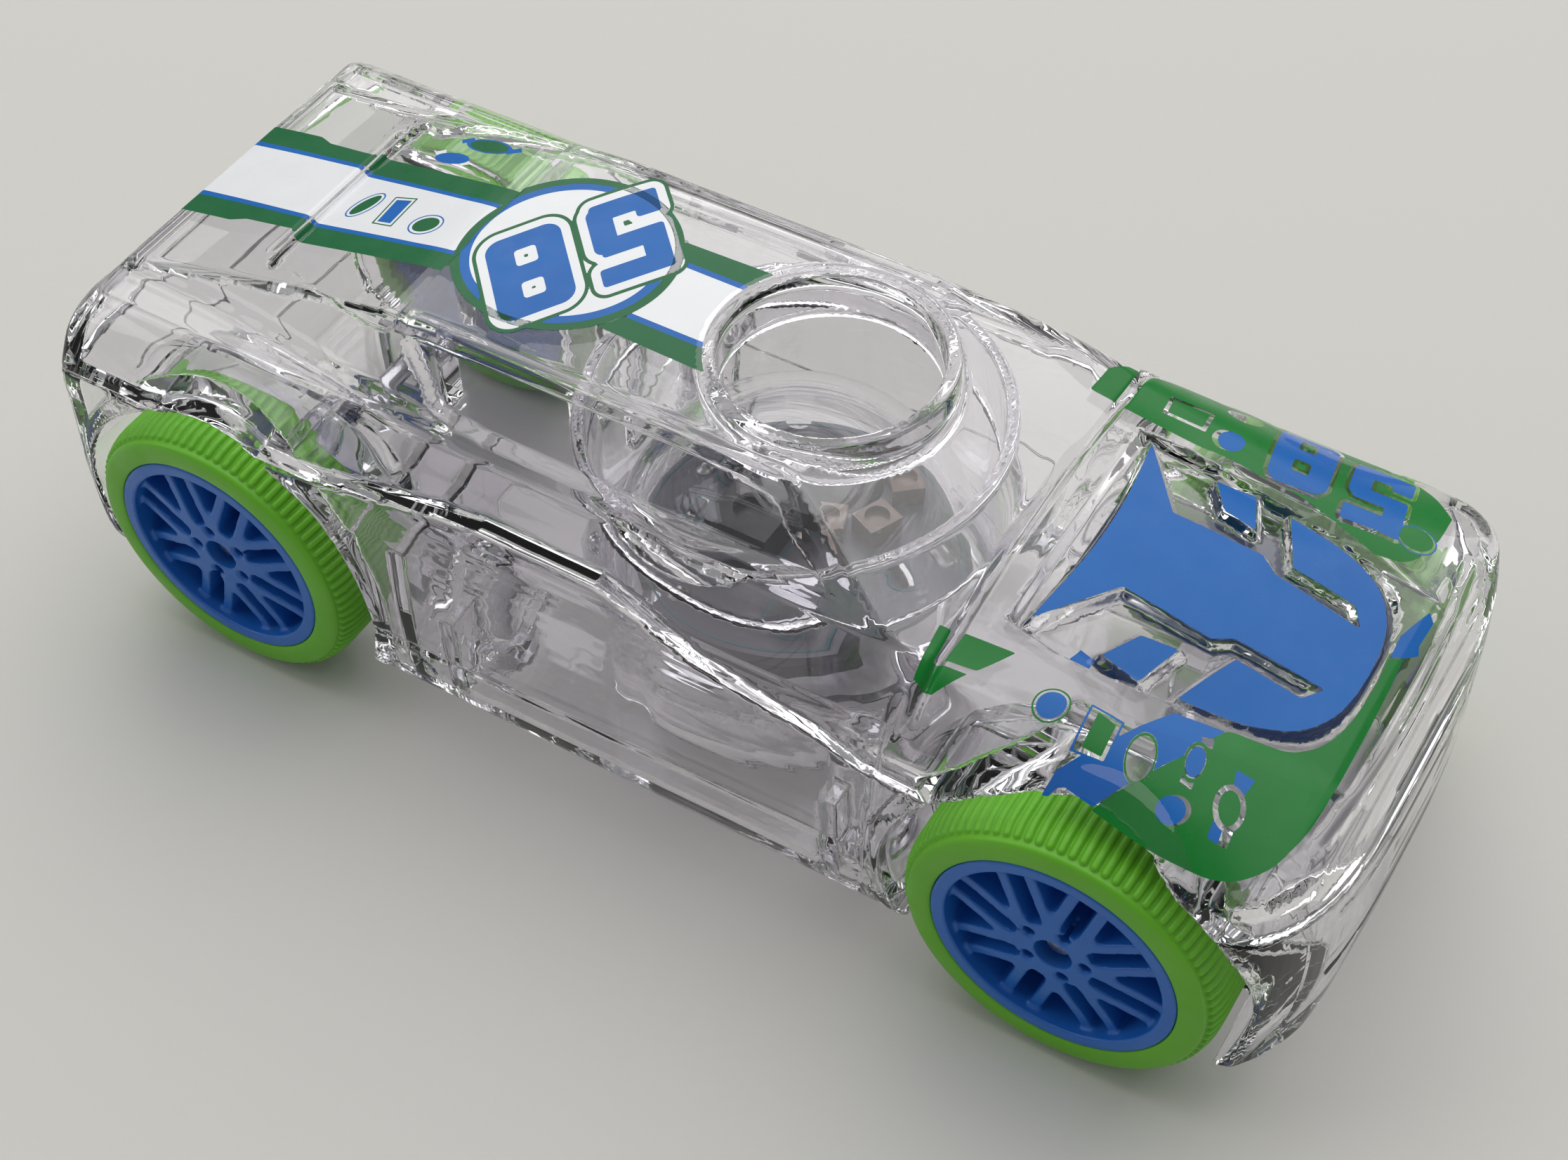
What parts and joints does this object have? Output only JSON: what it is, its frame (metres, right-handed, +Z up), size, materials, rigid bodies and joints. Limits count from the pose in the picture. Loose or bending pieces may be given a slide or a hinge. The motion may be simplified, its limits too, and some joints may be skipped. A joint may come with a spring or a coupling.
{
  "type": "toy race car",
  "caption": "Clear plastic toy race car on lime tyres with blue rims; a hollow ball with a light-up circuit rolls in a well under a round hole in the roof.",
  "frame": {"origin": "on the ground below the middle of the body's length and width", "axes": "+X forward along the longest extent, +Y to the car's left, +Z up"},
  "size_m": [0.1196, 0.049, 0.042],
  "materials": {
    "clear_body": "clear",
    "clear_ball": "clear",
    "blue_plastic": "satin",
    "lime_tyre": "satin",
    "steel": "satin",
    "brass": "satin",
    "circuit_board": "matte",
    "black_plastic": "gloss",
    "amber_plastic": "gloss"
  },
  "bodies": {
    "car_body": {"body_shell": "clear_body", "chassis": "clear_body", "case_screws": "steel"},
    "front_wheels": {"front_axle": "steel", "rim_front_right": "blue_plastic", "rim_front_left": "blue_plastic", "tyre_front_right": "lime_tyre", "tyre_front_left": "lime_tyre"},
    "rear_wheels": {"rear_axle": "steel", "rim_rear_right": "blue_plastic", "rim_rear_left": "blue_plastic", "tyre_rear_right": "lime_tyre", "tyre_rear_left": "lime_tyre"},
    "ball": {"ball_top": "clear_ball", "ball_base": "clear_ball", "ball_pcb": "circuit_board", "battery_tray": "black_plastic", "coin_cells": "steel", "battery_clip": "brass", "motion_spring": "steel", "motion_pin": "brass", "chip_blob": "black_plastic", "switch_block": "black_plastic", "led_red": "amber_plastic", "led_green": "amber_plastic", "led_blue": "amber_plastic", "chip_resistors": "black_plastic", "capacitor": "amber_plastic"}
  },
  "joints": [
    {"name": "front_axle_turn", "type": "hinge", "parent": "car_body", "child": "front_wheels", "pos_m": [0.0398, 0, 0.0137], "axis": [0, 1, 0], "continuous": true},
    {"name": "rear_axle_turn", "type": "hinge", "parent": "car_body", "child": "rear_wheels", "pos_m": [-0.0428, 0, 0.0137], "axis": [0, 1, 0], "continuous": true},
    {"name": "ball_roll", "type": "hinge", "parent": "car_body", "child": "ball", "pos_m": [0.0026, 0, 0.016], "axis": [0, 1, 0], "continuous": true}
  ]
}
